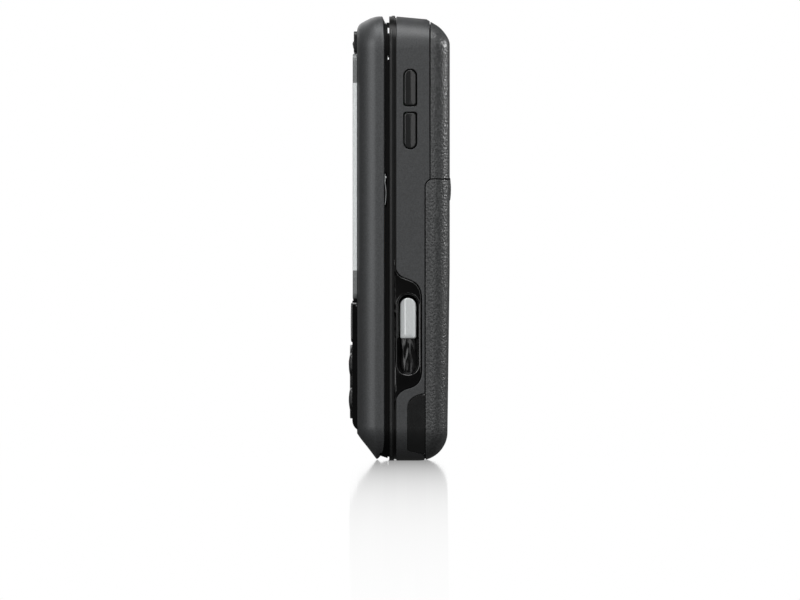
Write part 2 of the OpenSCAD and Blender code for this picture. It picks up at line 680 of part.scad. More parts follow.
module hold_switch_body() color([0.1, 0.1, 0.1]) difference() {
    block([22, 0.2, 21], [25.2, 3.7, 40]);
    along_x(23.6, 26) slot_outline(switch_y, 24.6, 37.4, 1.9);
}

// The sliding knob: round at the top, nearly square at the bottom, with a stem into the switch.
module hold_switch_knob() color([0.78, 0.78, 0.79]) union() {
    along_x(26.4, 28.9) polygon(concat(
        arc([switch_y, knob_z[1] - 1.95], 1.95, 0, 180),
        arc([switch_y - 1.45, knob_z[0] + 0.5], 0.5, 180, 270),
        arc([switch_y + 1.45, knob_z[0] + 0.5], 0.5, 270, 360)));
    block([23.9, switch_y - 0.6, 33], [26.4, switch_y + 0.6, 36]);
}

module power_key() color([0.1, 0.1, 0.11]) block([power_x[0], -2.05, 105.2], [power_x[1], -1.15, 107.9]);

module ir_window() color([0.1, 0.02, 0.03]) intersection() {
    along_x(24, half_w) intersection() {
        polygon(ir_points(0));
        square([door_y - 0.05, 20]);
    }
    along_y(0, 8) difference() {
        outline(0.1);
        outline(band_wall - 0.1);
    }
}

module ir_transceiver() color([0.06, 0.06, 0.07]) union() {
    block([23.4, 1.9, 5.5], [25.8, 4.4, 14]);
    for (z = [7.6, 11.8]) translate([25.8, 3.15, z]) sphere(r = 1.1);
}

module stylus() color([0.3, 0.3, 0.31]) translate([stylus_spot[0], stylus_spot[1], 0]) {
    top = body_h - 0.3;
    translate([0, 0, top - 7]) cylinder(r = stylus_r, h = 7);
    translate([0, 0, top - stylus_len + 6]) cylinder(r = stylus_r - 0.2, h = stylus_len - 13);
    translate([0, 0, top - stylus_len + 1]) cylinder(r1 = 0.5, r2 = stylus_r - 0.2, h = 5);
    translate([0, 0, top - stylus_len + 0.6]) cylinder(r = 0.5, h = 0.4);
}

module base_screws() color([0.2, 0.2, 0.21])
    for (p = base_screw_spots) translate([p[0], 6, p[1]]) screw(1.4, 0.8, 0.7, 6.9);

mid_frame();
side_band();
rear_cover();
inner_chassis();
main_board();
shield_cans();
keyboard_board();
battery();
battery_contacts();
sim_holder();
usb_port();
headset_jack();
camera_module();
camera_window();
loudspeaker();
vibration_motor();
antenna();
microphone();
side_switches();
hold_switch_body();
ir_window();
ir_transceiver();
slide_shoes();
slide_springs();
display_flex();
base_screws();
volume_up_key();
volume_down_key();
hold_switch_knob();
power_key();
stylus();
battery_door();
door_latch();
vibration_weight();
key_row_1();
key_row_2();
key_row_3();
key_row_4();
screen_bezel();
screen_window();
lcd_module();
display_frame();
screen_back();
slide_plate();
earpiece();
earpiece_grille();
control_panel();
key_circuit();
screen_screws();
softkey_left();
softkey_right();
call_key();
end_key();
home_key();
ok_key();
nav_carrier();
nav_ring();
nav_select();
top_key_left();
top_key_right();
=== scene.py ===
"""A pocket organiser with a slide-out keyboard, standing on its bottom end on a glossy white table.

Everything is in metres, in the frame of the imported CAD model: +Z up, -Y out of the screen, +X to the right.
Lengths in the lists below are millimetres and are scaled by MM where a mesh is made.
"""

import json
import math

import bmesh
import bpy
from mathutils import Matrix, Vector


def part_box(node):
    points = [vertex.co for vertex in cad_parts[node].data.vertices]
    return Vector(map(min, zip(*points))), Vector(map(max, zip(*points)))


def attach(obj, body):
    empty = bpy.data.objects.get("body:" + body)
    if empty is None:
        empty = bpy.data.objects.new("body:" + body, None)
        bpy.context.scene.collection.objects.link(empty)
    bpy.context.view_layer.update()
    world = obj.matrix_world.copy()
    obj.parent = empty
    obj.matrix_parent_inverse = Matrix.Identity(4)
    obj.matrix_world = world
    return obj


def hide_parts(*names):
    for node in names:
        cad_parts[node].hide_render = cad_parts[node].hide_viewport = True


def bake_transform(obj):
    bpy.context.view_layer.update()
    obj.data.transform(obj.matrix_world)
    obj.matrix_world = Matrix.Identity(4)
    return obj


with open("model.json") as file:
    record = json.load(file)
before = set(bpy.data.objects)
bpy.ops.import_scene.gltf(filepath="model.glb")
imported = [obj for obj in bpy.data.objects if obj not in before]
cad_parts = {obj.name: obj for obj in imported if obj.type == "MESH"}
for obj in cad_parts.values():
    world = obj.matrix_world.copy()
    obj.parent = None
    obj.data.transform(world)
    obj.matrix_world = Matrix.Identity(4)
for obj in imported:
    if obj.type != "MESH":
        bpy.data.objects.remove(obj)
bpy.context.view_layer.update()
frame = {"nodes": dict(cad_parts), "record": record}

MM = 0.001


# ---- Places and sizes taken from the frame, in millimetres ----

def box_mm(node):
    low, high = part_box(node)
    return low / MM, high / MM


slab_low, slab_high = box_mm("screen_bezel")
frame_low, frame_high = box_mm("mid_frame")
cover_low, cover_high = box_mm("rear_cover")
door_low, door_high = box_mm("battery_door")
band_low, band_high = box_mm("side_band")

HALF_W = frame_high.x
BODY_H = frame_high.z
CORNER_R = 8.0
BAND_Y = band_low.y - 0.05
COVER_Y = band_high.y
BACK_Y = cover_high.y
SLAB_FRONT = slab_low.y
SLAB_REAR = slab_high.y
SLAB_LOW_Z = slab_low.z
DOOR_Y = door_low.y - 0.1
DOOR_TOP = door_high.z + 0.1
REACH = 40.0  # further out than any wall, so that a cutter goes right through
SEAM = 0.08  # half the width of a seam between two covers
SIDE_R = 4.9  # rounding of the back's long edges
TOP_R = 7.0  # and of its top
LOW_R = 6.9  # and of its foot
LEAN_TOP = 47.0  # the back leans in below this height
LEAN = 0.55
GLASS_END = 7.1  # length of the ends of the window's edge, which are painted darker as painted shade
VOLUME_Y = 2.5
VOLUME_HALF_W = 1.475
VOLUME_Z = (79.8, 90.2)
SWITCH_Y = 1.95
MARK_LIFT = 0.02

PARTS = {part["node"]: part for part in frame["record"]["subparts"]}
BODY_OF = {node: body for body, nodes in frame["record"]["behaviour"]["bodies"].items() for node in nodes}


# ---- Materials ----

def socket(shader, name, value):
    """Sets a socket if the shader has it."""
    if name in shader.inputs:
        shader.inputs[name].default_value = value


def link(tree, out_node, out_name, in_node, in_name):
    tree.links.new(out_node.outputs[out_name], in_node.inputs[in_name])


def add_node(tree, kind, **values):
    """A node whose input sockets are set by name."""
    made = tree.nodes.new(kind)
    for name, value in values.items():
        made.inputs[name.replace("_", " ")].default_value = value
    return made


def material(name, low, high, roughness, cell, bump=0.0, bump_depth=0.02, metallic=0.0, coat=0.0,
             coat_roughness=0.1, specular=0.5, rough_spread=0.06, kind="NOISE", painted_edge_highlight=0.0, cloud=0.0):
    """A moulded, painted or machined finish: its colour runs between low and high in cells of that size.

    Its edge-lightening share lightens convex edges a little as a painted highlight, and cloud mixes in a
    slower change of colour.
    """
    made = bpy.data.materials.new(name)
    made.use_nodes = True
    tree = made.node_tree
    shader = tree.nodes["Principled BSDF"]
    socket(shader, "Metallic", metallic)
    socket(shader, "Specular IOR Level", specular)
    socket(shader, "Coat Weight", coat)
    socket(shader, "Coat Roughness", coat_roughness)
    place = tree.nodes.new("ShaderNodeTexCoord")
    scale = 1 / (cell * MM)
    if kind == "VORONOI":
        pattern = add_node(tree, "ShaderNodeTexVoronoi", Scale=scale)
        pattern.feature = "SMOOTH_F1"
        pattern.inputs["Smoothness"].default_value = 0.6
        value = "Distance"
    else:
        pattern = add_node(tree, "ShaderNodeTexNoise", Scale=scale, Detail=3.0)
        value = "Fac"
    link(tree, place, "Object", pattern, "Vector")
    colour = tree.nodes.new("ShaderNodeValToRGB")
    colour.color_ramp.elements[0].position = 0.3
    colour.color_ramp.elements[0].color = (*low, 1)
    colour.color_ramp.elements[1].position = 0.7
    colour.color_ramp.elements[1].color = (*high, 1)
    link(tree, pattern, value, colour, "Fac")
    tint = colour, "Color"
    if cloud:
        slow = add_node(tree, "ShaderNodeTexNoise", Scale=scale / 60, Detail=1.0)
        link(tree, place, "Object", slow, "Vector")
        fade = add_node(tree, "ShaderNodeMapRange", To_Min=1 - cloud, To_Max=1 + cloud)
        link(tree, slow, "Fac", fade, "Value")
        darker = tree.nodes.new("ShaderNodeVectorMath")
        darker.operation = "SCALE"
        link(tree, colour, "Color", darker, 0)
        link(tree, fade, "Result", darker, "Scale")
        tint = darker, "Vector"
    # painted highlight: convex edges get a lighter colour
    if painted_edge_highlight:
        edge = tree.nodes.new("ShaderNodeNewGeometry")
        lit_edge = add_node(tree, "ShaderNodeMapRange", From_Min=0.51, From_Max=0.62, To_Max=painted_edge_highlight)
        link(tree, edge, "Pointiness", lit_edge, "Value")
        mix = tree.nodes.new("ShaderNodeMix")
        mix.data_type = "RGBA"
        mix.inputs[7].default_value = (*(min(1, 3 * part) for part in high), 1)
        tree.links.new(lit_edge.outputs["Result"], mix.inputs[0])
        tree.links.new(tint[0].outputs[tint[1]], mix.inputs[6])
        tree.links.new(mix.outputs[2], shader.inputs["Base Color"])
    else:
        link(tree, tint[0], tint[1], shader, "Base Color")
    rough = add_node(tree, "ShaderNodeMapRange", To_Min=max(0.0, roughness - rough_spread),
                     To_Max=min(1.0, roughness + rough_spread))
    link(tree, pattern, value, rough, "Value")
    link(tree, rough, "Result", shader, "Roughness")
    if bump:
        relief = add_node(tree, "ShaderNodeBump", Strength=bump, Distance=bump_depth * MM)
        link(tree, pattern, value, relief, "Height")
        link(tree, relief, "Normal", shader, "Normal")
    return made


def grey(level, blue=1.0):
    """A near-neutral colour with a touch of cool in it."""
    return (level * 0.965, level, level * blue)


FINISH = {
    # slab_paint: convex edges painted a little lighter, a painted highlight
    "slab_paint": material("slab_paint", grey(0.048, 1.03), grey(0.074, 1.03), 0.48, 0.32, 0.22, 0.012,
                           metallic=0.5, cloud=0.06, painted_edge_highlight=0.2),
    "band_paint": material("band_paint", grey(0.038, 1.03), grey(0.060, 1.03), 0.44, 0.32, 0.22, 0.012,
                           metallic=0.3, cloud=0.06),
    "soft_touch": material("soft_touch", grey(0.034, 1.01), grey(0.054, 1.01), 0.37, 0.5, 1.0, 0.08,
                           kind="VORONOI", cloud=0.04),
    "piano_black": material("piano_black", grey(0.0012), grey(0.002), 0.12, 3, rough_spread=0.02,
                            specular=0.45, coat=0.15, coat_roughness=0.05),
    "satin_black": material("satin_black", grey(0.007), grey(0.011), 0.38, 0.4, 0.1, 0.01),
    "key_grey": material("key_grey", grey(0.010), grey(0.013), 0.26, 0.5, 0.02, 0.004, rough_spread=0.01,
                         specular=0.3),
    "silver_knob": material("silver_knob", grey(0.56), grey(0.64), 0.40, 0.25, 0.06, 0.008, metallic=0.3),
    "display_dark": material("display_dark", (0.006, 0.008, 0.009), (0.009, 0.011, 0.013), 0.22, 6),
    "ir_plastic": material("ir_plastic", grey(0.007), grey(0.010), 0.22, 4),
    "steel": material("steel", grey(0.5), grey(0.62), 0.3, 0.5, 0.1, 0.01, metallic=1.0),
    "spring_steel": material("spring_steel", grey(0.62), grey(0.72), 0.2, 0.5, metallic=1.0),
    "slide_liner": material("slide_liner", grey(0.02), grey(0.03), 0.45, 0.5, 0.1, 0.01),
    "circuit_board": material("circuit_board", (0.01, 0.07, 0.03), (0.015, 0.1, 0.045), 0.4, 1.2, 0.2, 0.02),
    "battery_case": material("battery_case", grey(0.03), grey(0.04), 0.45, 0.8, 0.15, 0.02),
    "gold_copper": material("gold_copper", (0.55, 0.32, 0.12), (0.7, 0.42, 0.18), 0.3, 0.6, metallic=1.0),
    "flex_film": material("flex_film", (0.4, 0.17, 0.03), (0.5, 0.22, 0.05), 0.3, 1),
    "screw_steel": material("screw_steel", grey(0.05), grey(0.08), 0.35, 0.4, metallic=0.8),
    "speaker_grey": material("speaker_grey", grey(0.09), grey(0.13), 0.5, 0.4, 0.2, 0.02),
    "magnesium": material("magnesium", grey(0.22), grey(0.3), 0.45, 0.5, 0.2, 0.02, metallic=0.8),
}


def glass(name, colour, roughness, transmission):
    """Clear moulded or ground glass, with a trace of roughness that wanders."""
    made = material(name, colour, colour, roughness, 9, rough_spread=0.005)
    shader = made.node_tree.nodes["Principled BSDF"]
    socket(shader, "Transmission Weight", transmission)
    socket(shader, "IOR", 1.5)
    return made


FINISH["window_glass"] = glass("window_glass", (0.9, 0.92, 0.92), 0.01, 1.0)
FINISH["lens_glass"] = glass("lens_glass", (0.02, 0.02, 0.03), 0.03, 0.6)
# The window's clear edge in two painted greys: a light one as a painted highlight for the light through the
# glass, and a darker one as painted shade at its ends.
GLASS_EDGE_PAINTED_HIGHLIGHT = material("glass_edge", grey(0.66), grey(0.74), 0.3, 0.6, 0.1, 0.01)
GLASS_EDGE_PAINTED_SHADE = material("glass_edge_end", grey(0.15), grey(0.20), 0.3, 0.6, 0.1, 0.01)
FRAME_SIDE = material("frame_side", grey(0.003), grey(0.005), 0.34, 0.5, 0.1, 0.01, specular=0.22)
# Near-black with little gloss: the colour of black parts, and painted shade where it lines the casing behind
# its seams and fills gaps.
BLACK_AND_PAINTED_GAP_SHADE = material("black_and_painted_gap_shade", grey(0.002), grey(0.003), 0.5, 0.5, 0.1, 0.01, specular=0.06)
TRACK_BLACK = material("track_black", grey(0.002), grey(0.004), 0.2, 2, specular=0.3)
# A black lighter than the frame's: the bead's rounding catches real light, and this lighter black also paints
# a highlight along it.
BEAD_BLACK_PAINTED_HIGHLIGHT = material("bead_black_painted_highlight", grey(0.014), grey(0.019), 0.36, 0.5, 0.1, 0.01, specular=0.3)
MASK_BLACK = material("mask_print", grey(0.002), grey(0.003), 0.25, 5)
GREEN_PRINT = material("green_print", (0.01, 0.28, 0.05), (0.02, 0.36, 0.07), 0.4, 0.4)
RED_PRINT = material("red_print", (0.4, 0.01, 0.01), (0.5, 0.02, 0.02), 0.4, 0.4)
PALE_PRINT = material("pale_print", grey(0.4), grey(0.5), 0.4, 0.4)


# ---- Mesh tools ----

def add_object(name, data):
    made = bpy.data.objects.new(name, data)
    bpy.context.scene.collection.objects.link(made)
    return made


def evaluated(made):
    """A new mesh with the object's modifiers applied."""
    return bpy.data.meshes.new_from_object(made.evaluated_get(bpy.context.evaluated_depsgraph_get()))


def add_bevel(made, edge, angle, segments, clamp):
    bevel = made.modifiers.new("edges", "BEVEL")
    bevel.width = edge * MM
    bevel.segments = segments
    bevel.limit_method = "ANGLE"
    bevel.angle_limit = math.radians(angle)
    bevel.use_clamp_overlap = clamp
    return bevel


def tube_faces(rings, n):
    """Faces between rings of n points each."""
    return [(j * n + i, j * n + (i + 1) % n, (j + 1) * n + (i + 1) % n, (j + 1) * n + i)
            for j in range(rings - 1) for i in range(n)]


def slice_up(mesh, points, normal, **settings):
    """Cuts the mesh's faces along planes and leaves all of them."""
    shape = bmesh.new()
    shape.from_mesh(mesh)
    for point in points:
        bmesh.ops.bisect_plane(shape, geom=shape.verts[:] + shape.edges[:] + shape.faces[:],
                               plane_co=point, plane_no=normal, **settings)
    shape.to_mesh(mesh)
    shape.free()


def to_mesh(name, points, faces):
    """A welded mesh from points in millimetres, with its faces turned outwards."""
    mesh = bpy.data.meshes.new(name)
    mesh.from_pydata([Vector(p) * MM for p in points], [], faces)
    tidy(mesh)
    return mesh


def tidy(mesh, flat=0.0):
    """Welds a mesh, drops slivers, joins flat faces where asked, and turns the faces outwards."""
    shape = bmesh.new()
    shape.from_mesh(mesh)
    bmesh.ops.remove_doubles(shape, verts=shape.verts, dist=2e-6)
    bmesh.ops.dissolve_degenerate(shape, edges=shape.edges, dist=1e-6)
    if flat:
        bmesh.ops.dissolve_limit(shape, angle_limit=math.radians(flat), verts=shape.verts, edges=shape.edges)
    bmesh.ops.recalc_face_normals(shape, faces=shape.faces)
    for face in shape.faces:
        face.smooth = True
    shape.to_mesh(mesh)
    shape.free()


def prism(points, axis, low, high):
    """A closed prism. Its outline is (Y, Z) for axis X, (X, Z) for axis Y and (X, Y) for axis Z."""
    place = {"X": lambda p, t: (t, p[0], p[1]), "Y": lambda p, t: (p[0], t, p[1]),
             "Z": lambda p, t: (p[0], p[1], t)}[axis]
    n = len(points)
    verts = [place(p, low) for p in points] + [place(p, high) for p in points]
    faces = [tuple(range(n)), tuple(range(2 * n - 1, n - 1, -1))]
    faces += [(i, (i + 1) % n, n + (i + 1) % n, n + i) for i in range(n)]
    return to_mesh("prism", verts, faces)


def merged(meshes):
    """One mesh from several that don't touch."""
    shape = bmesh.new()
    for mesh in meshes:
        shape.from_mesh(mesh)
    made = bpy.data.meshes.new("merged")
    shape.to_mesh(made)
    shape.free()
    return made


def combine(mesh, other, operation="DIFFERENCE"):
    """The mesh with another cut out of it, or with only what both share left."""
    base, tool = (add_object("work", m) for m in (mesh, other))
    cutter = base.modifiers.new("cut", "BOOLEAN")
    cutter.operation = operation
    cutter.solver = "EXACT"
    cutter.object = tool
    cutter.use_hole_tolerant = True
    result = evaluated(base)
    for made in (base, tool):
        bpy.data.objects.remove(made)
    tidy(result)
    return result


def arc(cu, cv, r, start, end, steps=8):
    """Points on an arc, in degrees."""
    return [(cu + r * math.cos(math.radians(start + (end - start) * i / steps)),
             cv + r * math.sin(math.radians(start + (end - start) * i / steps))) for i in range(steps + 1)]


def rounded(u0, v0, u1, v1, r, steps=8):
    return (arc(u1 - r, v1 - r, r, 0, 90, steps) + arc(u0 + r, v1 - r, r, 90, 180, steps)
            + arc(u0 + r, v0 + r, r, 180, 270, steps) + arc(u1 - r, v0 + r, r, 270, 360, steps))


def circle(cu, cv, r, steps=48):
    return arc(cu, cv, r, 0, 360, steps)[:-1]


def place_piece(name, mesh, node, finish=None, edge=0.1, angle=32, segments=2, replace=True, clamp=True):
    """Puts a mesh on the body of a CAD node, in that node's stead, with its edges rounded off."""
    made = add_object(name, mesh)
    if not mesh.materials:
        mesh.materials.append(finish or FINISH[PARTS[node]["material_slot"]])
    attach(made, BODY_OF[node])
    if replace:
        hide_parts(node)
    soften(made, edge, angle, segments, clamp)
    return made


def eased(mesh, edge, segments=3):
    """The mesh with its flat faces joined and its sharp edges rounded off for good."""
    tidy(mesh, 0.6)
    work = add_object("work", mesh)
    add_bevel(work, edge, 32, segments, False)
    result = evaluated(work)
    bpy.data.objects.remove(work)
    tidy(result)
    return result


def soften(made, edge, angle, segments, clamp):
    """Rounds the sharp edges of an object and evens out its shading."""
    if edge:
        add_bevel(made, edge, angle, segments, clamp).miter_outer = "MITER_ARC"
    made.modifiers.new("shading", "WEIGHTED_NORMAL").keep_sharp = True


def cad_copy(node):
    """The CAD node's mesh without its materials and normals."""
    mesh = frame["nodes"][node].data.copy()
    if "custom_normal" in mesh.attributes:
        mesh.attributes.remove(mesh.attributes["custom_normal"])
    mesh.materials.clear()
    return mesh


def refine(node, edge, segments=2, cut=None, finish=None):
    """A finer copy of a CAD node: flat faces joined, edges rounded, and anything in cut taken away."""
    mesh = cad_copy(node)
    tidy(mesh, 1.0)
    if cut:
        mesh = combine(mesh, cut)
        tidy(mesh, 1.0)
        mesh.materials.clear()
    place_piece(node + "_fine", mesh, node, finish, edge, 28, segments)


def bending(node, edge, fixed_x, slid_x):
    """A finer copy of a CAD node, cut into narrow strips across X between fixed_x and slid_x.

    It is held on the base at fixed_x and on the slab at slid_x.
    """
    mesh = eased(cad_copy(node), edge, 2)
    steps = 24
    slice_up(mesh, [((fixed_x + (slid_x - fixed_x) * i / steps) * MM, 0, 0) for i in range(steps + 1)],
             (1, 0, 0), dist=1e-7)
    mesh.materials.clear()
    mesh.materials.append(FINISH[PARTS[node]["material_slot"]])
    made = add_object(node + "_fine", mesh)
    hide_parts(node)
    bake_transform(made)


# ---- Skins: shells lofted round the casing's outline ----

def outline_points(low_z, high_z, corner_steps=14, spans=12):
    """Points round the casing seen from the front: x, z and the outward normal."""
    made = []
    for quarter, (sx, sz) in enumerate(((1, 1), (-1, 1), (-1, -1), (1, -1))):
        cx = sx * (HALF_W - CORNER_R)
        cz = high_z - CORNER_R if sz > 0 else low_z + CORNER_R
        for i in range(corner_steps + 1):
            a = math.radians(90 * (quarter + i / corner_steps))
            made.append((cx + CORNER_R * math.cos(a), cz + CORNER_R * math.sin(a), math.cos(a), math.sin(a)))
        last = made[-1]
        nx, nz = ((0, 1), (-1, 0), (0, -1), (1, 0))[quarter]
        next_x = -last[0] if quarter in (0, 2) else last[0]
        next_z = last[1] if quarter in (0, 2) else (low_z + CORNER_R if quarter == 1 else high_z - CORNER_R)
        for i in range(1, spans):
            f = i / spans
            made.append((last[0] + (next_x - last[0]) * f, last[1] + (next_z - last[1]) * f, nx, nz))
    return made


def inset_point(p, depth, low_z, high_z):
    """Where an outline point comes to when the outline shrinks by that depth and keeps a round corner."""
    x, z, nx, nz = p
    middle = (low_z + high_z) / 2
    half_x, half_z = HALF_W - depth, (high_z - low_z) / 2 - depth
    r = max(0.0, min(max(CORNER_R - depth, 2.0), half_x, half_z))
    x = max(r - half_x, min(half_x - r, x - nx * CORNER_R))
    z = max(r - half_z, min(half_z - r, z - middle - nz * CORNER_R))
    return x + nx * r, middle + z + nz * r


def skin(low_z, high_z, profiles, cap_depths, cap_y, adjust, wall, sink=0.0, hold=()):
    """A shell round the outline.

    Each profile lists (Y, inset) from the open end to the cap, at the sides, the top and the bottom. Points
    between those take a share of each by the direction they face. Sink pushes the whole shell inwards. Hold
    keeps the first profile points at the sides' height until nearer to the bottom.
    """
    outline = outline_points(low_z, high_z)
    side, top, bottom = profiles
    n = len(outline)
    verts = []
    for j in range(len(side)):
        for p in outline:
            wt, wb = (p[3] ** 2 if p[3] > 0 else 0), (p[3] ** 2 if p[3] < 0 else 0)
            wb = wb ** (hold[j] if j < len(hold) else 1)
            ws = 1 - wt - wb
            y = ws * side[j][0] + wt * top[j][0] + wb * bottom[j][0]
            inset = ws * side[j][1] + wt * top[j][1] + wb * bottom[j][1]
            x, z = inset_point(p, inset, low_z, high_z)
            verts.append((x, adjust(y, z), z))
    for depth in cap_depths:
        for p in outline:
            x, z = inset_point(p, depth, low_z, high_z)
            verts.append((x, cap_y(z), z))
    rings = len(side) + len(cap_depths)
    made = add_object("skin", to_mesh("skin", verts, tube_faces(rings, n)))
    if sink:
        shift = made.modifiers.new("sink", "DISPLACE")
        shift.strength = -sink * MM
        shift.mid_level = 0
    thick = made.modifiers.new("wall", "SOLIDIFY")
    thick.thickness = wall * MM
    thick.offset = -1
    result = evaluated(made)
    bpy.data.objects.remove(made)
    tidy(result)
    return result


def sampled(pieces, steps):
    """Samples a profile made of polylines, each in its own number of steps."""
    made = [pieces[0][0]]
    for line, count in zip(pieces, steps):
        lengths = [math.dist(a, b) for a, b in zip(line, line[1:])]
        total = sum(lengths)
        for i in range(1, count + 1):
            goal = total * i / count
            for (a, b), length in zip(zip(line, line[1:]), lengths):
                if goal <= length + 1e-9:
                    f = goal / length if length else 0
                    made.append((a[0] + (b[0] - a[0]) * f, a[1] + (b[1] - a[1]) * f))
                    break
                goal -= length
    return made


def back_y(z):
    """The back's plane: it leans in slightly below the middle."""
    return BACK_Y - LEAN * max(0.0, min(1.0, (LEAN_TOP - z) / (LEAN_TOP - LOW_R)))


SIDE_ARC_Y = BACK_Y - SIDE_R


def rear_adjust(y, z):
    """Y of a point on the rounded edge once the back leans in at that height."""
    return y if y <= SIDE_ARC_Y else SIDE_ARC_Y + (y - SIDE_ARC_Y) * (back_y(z) - SIDE_ARC_Y) / SIDE_R


def rear_unadjust(y):
    """The Y that rear_adjust turns into y at the foot."""
    return y if y <= SIDE_ARC_Y else SIDE_ARC_Y + (y - SIDE_ARC_Y) * SIDE_R / (back_y(LOW_R) - SIDE_ARC_Y)


def rear_skin(wall, sink=0.0):
    """The lower casing's outside: sides, back, top end and foot in one shell, open towards the slab."""
    steps = (8, 16)
    side = sampled([[(BAND_Y, 0), (SIDE_ARC_Y, 0)],
                    [(SIDE_ARC_Y + u, SIDE_R - v) for u, v in arc(0, 0, SIDE_R, 90, 0, 24)]], steps)
    top = sampled([[(BAND_Y, 0), (6.6, 0.7), (7.3, 1.2)],
                   [(7.3, 1.2)] + [(BACK_Y - TOP_R + u, 8 - v) for u, v in arc(0, 0, TOP_R, 64, 0, 24)]],
                  steps)
    bottom = sampled([[(BAND_Y, 0), (4.6, 0)],
                      [(4.6 + u, LOW_R - v) for u, v in arc(0, 0, LOW_R, 90, 0, 24)]], steps)
    bottom = [(rear_unadjust(y), inset) for y, inset in bottom]
    return skin(0, BODY_H, (side, top, bottom), (9.5, 12, 16, 20, 25, 29), back_y, rear_adjust, wall, sink)


# The slab's upper front edge in the side view: (Y, depth below the top)
SLAB_TOP = [(-4.9, 0), (-5.7, 0.05), (-6.5, 0.25), (-7.3, 0.52), (-8.06, 0.9), (-9.2, 1.5), (-9.85, 2.0),
            (-10.25, 2.7), (-10.38, 3.4), (SLAB_FRONT, 4.1)]


def slab_skin(wall):
    """The slab's outside, open towards the gap."""
    steps = (1, 3, 18)
    tilt, bend = 8, 5.34
    front_arc = [(-5.8 - bend * (math.sin(math.radians(a)) - math.sin(math.radians(tilt))),
                  bend * (math.cos(math.radians(tilt)) - math.cos(math.radians(a))))
                 for a in [tilt + (90 - tilt) * i / 30 for i in range(31)]]
    front_arc[-1] = (SLAB_FRONT, front_arc[-1][1])
    side = sampled([[(SLAB_REAR, 0.22), (SLAB_REAR - 0.2, 0)], [(SLAB_REAR - 0.2, 0), (-5.8, 0)], front_arc],
                   steps)
    top = sampled([[(SLAB_REAR, 1.2), (-4.3, 0)], [(-4.3, 0), (-4.9, 0)], smooth_line(SLAB_TOP)], steps)
    bottom = sampled([[(-5.35, 0.1), (-5.45, 0)], [(-5.45, 0), (-5.75, 0.02)],
                      [(-5.75, 0.02), (SLAB_FRONT, 6.2)]], steps)
    return skin(SLAB_LOW_Z, BODY_H, (side, top, bottom), (9, 12, 16, 20, 25, 29), lambda z: SLAB_FRONT,
                lambda y, z: y, wall, hold=(3, 3, 2.5, 1.8, 1.3))


# ---- Keys: caps whose top is drawn from an outline towards a spine ----

def cap_mesh(outline, spine, levels, place, crown=None):
    """A key cap. Each level is (share of the way from the outline to the spine, height); place turns
    (u, v, height) into a point. The outline runs round the spine, a pair of points. All levels but the first
    are lowered by crown(u), where that is given."""
    (au, av), (bu, bv) = spine
    length2 = (bu - au) ** 2 + (bv - av) ** 2
    n = len(outline)
    verts = []
    for share, height in levels:
        for u, v in outline:
            f = 0 if not length2 else max(0, min(1, ((u - au) * (bu - au) + (v - av) * (bv - av)) / length2))
            cu, cv = au + (bu - au) * f, av + (bv - av) * f
            nu, nv = u + (cu - u) * share, v + (cv - v) * share
            low = crown(nu) if crown and len(verts) >= n else 0
            verts.append(place(nu, nv, height - low))
    return to_mesh("cap", verts, tube_faces(len(levels), n) + [tuple(range(n))])


def crown_levels(base, top, rim, rise, half):
    """Levels of a cap: straight side, rounded rim of that radius, then a crown that rises to top."""
    shoulder = top - rise
    made = [(0, base)]
    for i in range(5):
        a = math.radians(90 * i / 4)
        made.append((rim * (1 - math.cos(a)) / half, shoulder - rim + rim * math.sin(a)))
    first = made[-1][0]
    for i in range(1, 9):
        f = i / 8
        made.append((first + (1 - first) * f, shoulder + rise * (1 - (1 - f) ** 2)))
    return made


def on_side(u, v, height):
    return (height, u, v)


def on_front(u, v, height):
    return (u, -height, v)


# ---- The lower casing ----

LUG = [(-1.2, 48.6), (-1.1, 46.9), (-0.75, 45.8), (0.1, 44.7), (1.4, 44.05), (2.7, 43.55), (3.9, 42.85),
       (4.75, 41.7), (5.15, 40.2), (5.25, 38.4), (5.25, 30.5), (5.25, 22.6), (5.15, 20.9), (4.75, 19.5),
       (3.9, 18.4), (2.7, 17.75), (1.4, 17.3), (0.1, 16.6), (-0.75, 15.4), (-1.1, 14.2), (-1.2, 12.4)]


def smooth_line(points, steps=5):
    """A Catmull-Rom line through the points."""
    ends = [points[0]] + list(points) + [points[-1]]
    made = []
    for a, b, c, d in zip(ends, ends[1:], ends[2:], ends[3:]):
        for i in range(steps):
            t = i / steps
            made.append(tuple(0.5 * (2 * b[k] + (c[k] - a[k]) * t
                                     + (2 * a[k] - 5 * b[k] + 4 * c[k] - d[k]) * t * t
                                     + (3 * b[k] - a[k] - 3 * c[k] + d[k]) * t ** 3) for k in (0, 1)))
    return made + [points[-1]]


def grown(points, gap):
    """An open line moved outwards, to the right of its direction of travel when seen along -X."""
    made = []
    for i, p in enumerate(points):
        a, b = points[max(0, i - 1)], points[min(len(points) - 1, i + 1)]
        du, dv = b[0] - a[0], b[1] - a[1]
        size = math.hypot(du, dv)
        made.append((p[0] - dv / size * gap, p[1] + du / size * gap))
    return made


def lug_outline(gap):
    line = grown(smooth_line(LUG), gap)
    return [(-3, line[0][1])] + line + [(-3, line[-1][1])]


IR_LINE = [(6.6, 16.35), (5.4, 16.15), (4.1, 15.75), (3.0, 15.15), (2.25, 14.3), (1.95, 13.2), (1.9, 11.5),
           (1.9, 7), (1.9, 3.2), (2.05, 2.6), (2.5, 2.35), (4.5, 2.0), (6.6, 1.7)]


def ir_outline(gap):
    return grown(list(reversed(smooth_line(IR_LINE, 4))), gap)


